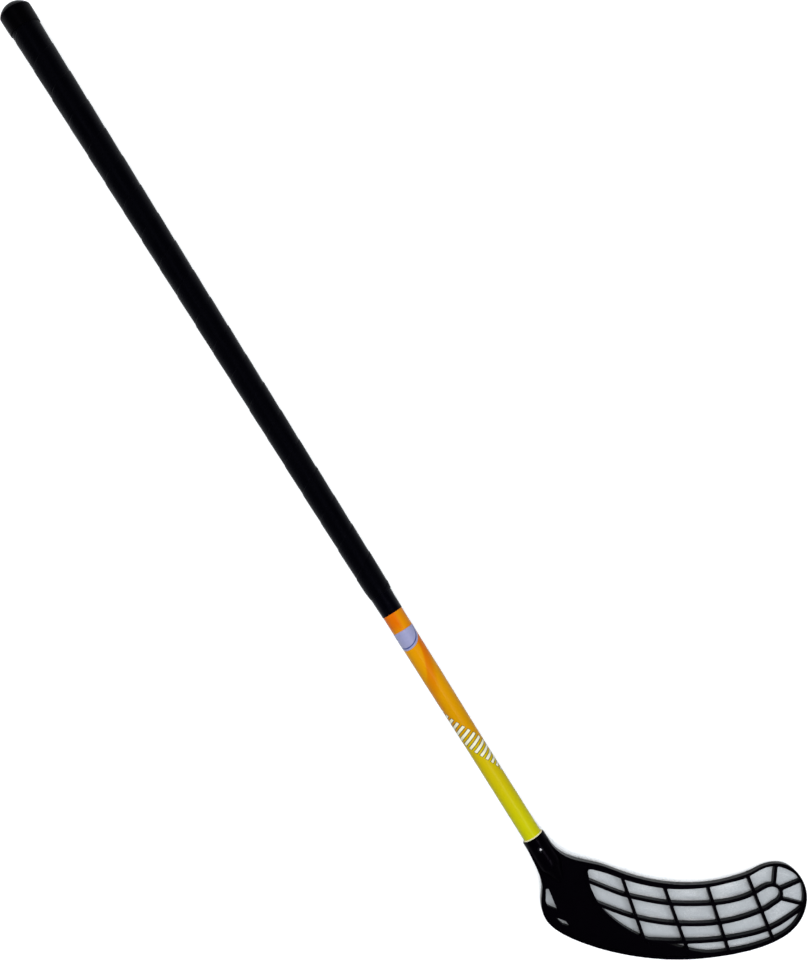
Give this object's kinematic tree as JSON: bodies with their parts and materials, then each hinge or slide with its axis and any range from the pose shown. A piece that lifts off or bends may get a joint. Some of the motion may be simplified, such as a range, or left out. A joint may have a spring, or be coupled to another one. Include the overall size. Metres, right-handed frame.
{
  "type": "floorball stick",
  "caption": "Floorball stick: tapered hollow shaft with a wound grip and domed rubber end cap, and a curved open-ribbed plastic blade glued and screwed on at its lower end.",
  "frame": {"origin": "centre of the shaft tube's butt end, on the shaft's axis, inside the end cap", "axes": "+X runs down the shaft to the blade, +Z is square to the blade's face on the side of the screw, and the blade's toe reaches towards +Y"},
  "size_m": [1.1663, 0.2313, 0.0329],
  "materials": {
    "shaft_lacquer": "lacquered composite, orange to gold to yellow-green",
    "blade_plastic": "satin moulded black",
    "screw_steel": "dark steel, bright in the cross recess",
    "glue_cream": "waxy hot-melt",
    "grip_foam": "soft perforated band",
    "tape_vinyl": "stretched tape",
    "cap_rubber": "satin",
    "label_film": "printed film, left blank"
  },
  "bodies": {
    "stick": {"shaft_tube": "shaft_lacquer", "blade": "blade_plastic", "socket_glue": "glue_cream", "grip_tape": "grip_foam", "grip_finish_tape": "tape_vinyl", "shaft_label": "label_film"},
    "cap": {"end_cap": "cap_rubber"},
    "screw": {"blade_screw": "screw_steel"}
  },
  "joints": [
    {"name": "cap_pull", "type": "slide", "parent": "stick", "child": "cap", "axis": [-1, 0, 0], "range_m": [0, 0.04]},
    {"name": "screw_draw", "type": "slide", "parent": "stick", "child": "screw", "axis": [0, 0, 1], "range_m": [0, 0.012]}
  ]
}
